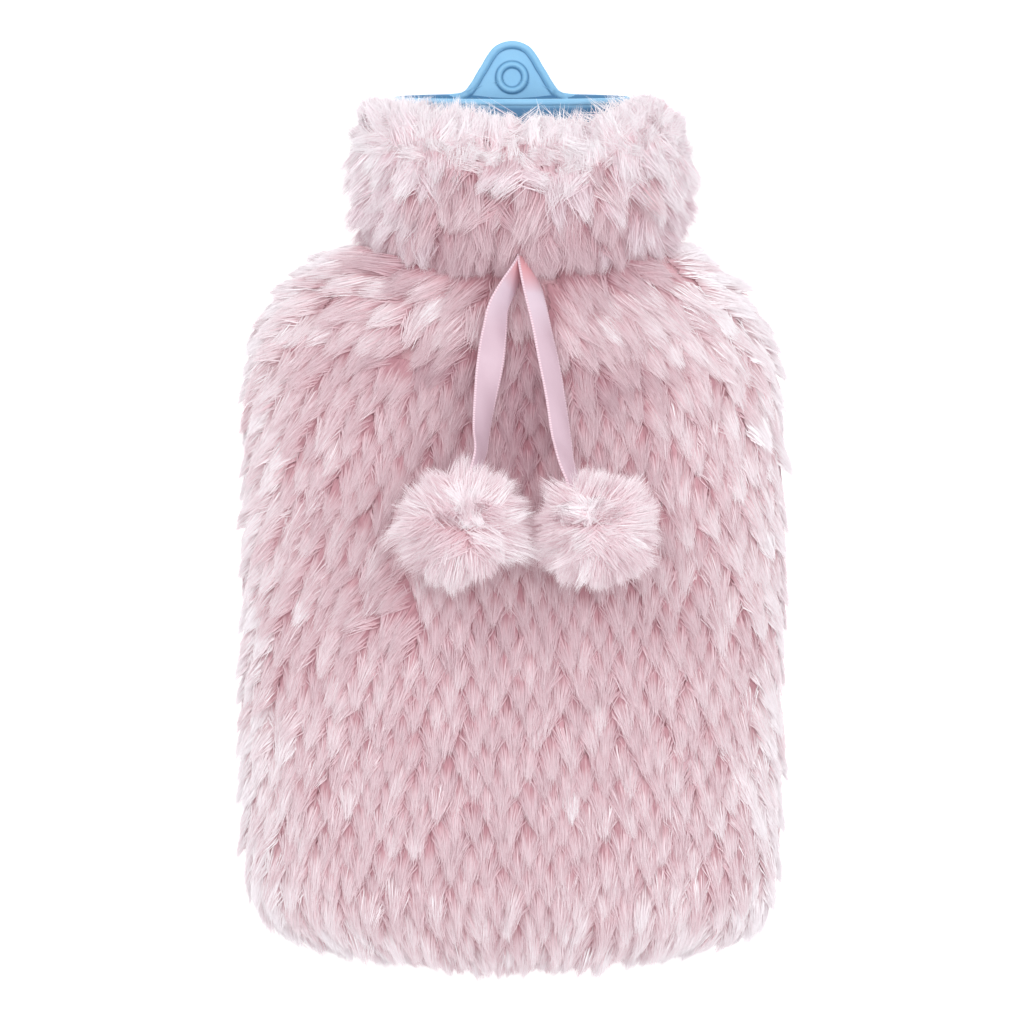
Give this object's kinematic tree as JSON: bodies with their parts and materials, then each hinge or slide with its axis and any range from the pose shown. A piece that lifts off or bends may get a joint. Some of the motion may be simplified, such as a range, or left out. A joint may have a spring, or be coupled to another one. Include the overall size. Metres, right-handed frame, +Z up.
{
  "type": "hot water bottle and faux fur cover",
  "caption": "Rubber hot water bottle in a long-pile faux fur pouch with a ruffed collar, a ribbon tie and pompoms, lying on its back.",
  "frame": {"origin": "on the surface that the cover lies on, under the middle of its flat back", "axes": "+X to the right seen from the front, +Y towards the hanging tab, +Z up, out of the cover's face"},
  "size_m": [0.2208, 0.3749, 0.118],
  "materials": {
    "fur": "long soft pile in staggered tufts, matt",
    "pompom_fur": "long soft pile, paler at its tips, matt",
    "satin": "satin weave with a soft sheen",
    "rubber": "smooth moulded rubber, satin"
  },
  "bodies": {
    "root": {"front_panel": "fur", "back_panel": "fur", "collar": "fur", "ribbon": "satin", "pompom_left": "pompom_fur", "pompom_right": "pompom_fur", "bottle": "rubber"}
  },
  "joints": []
}
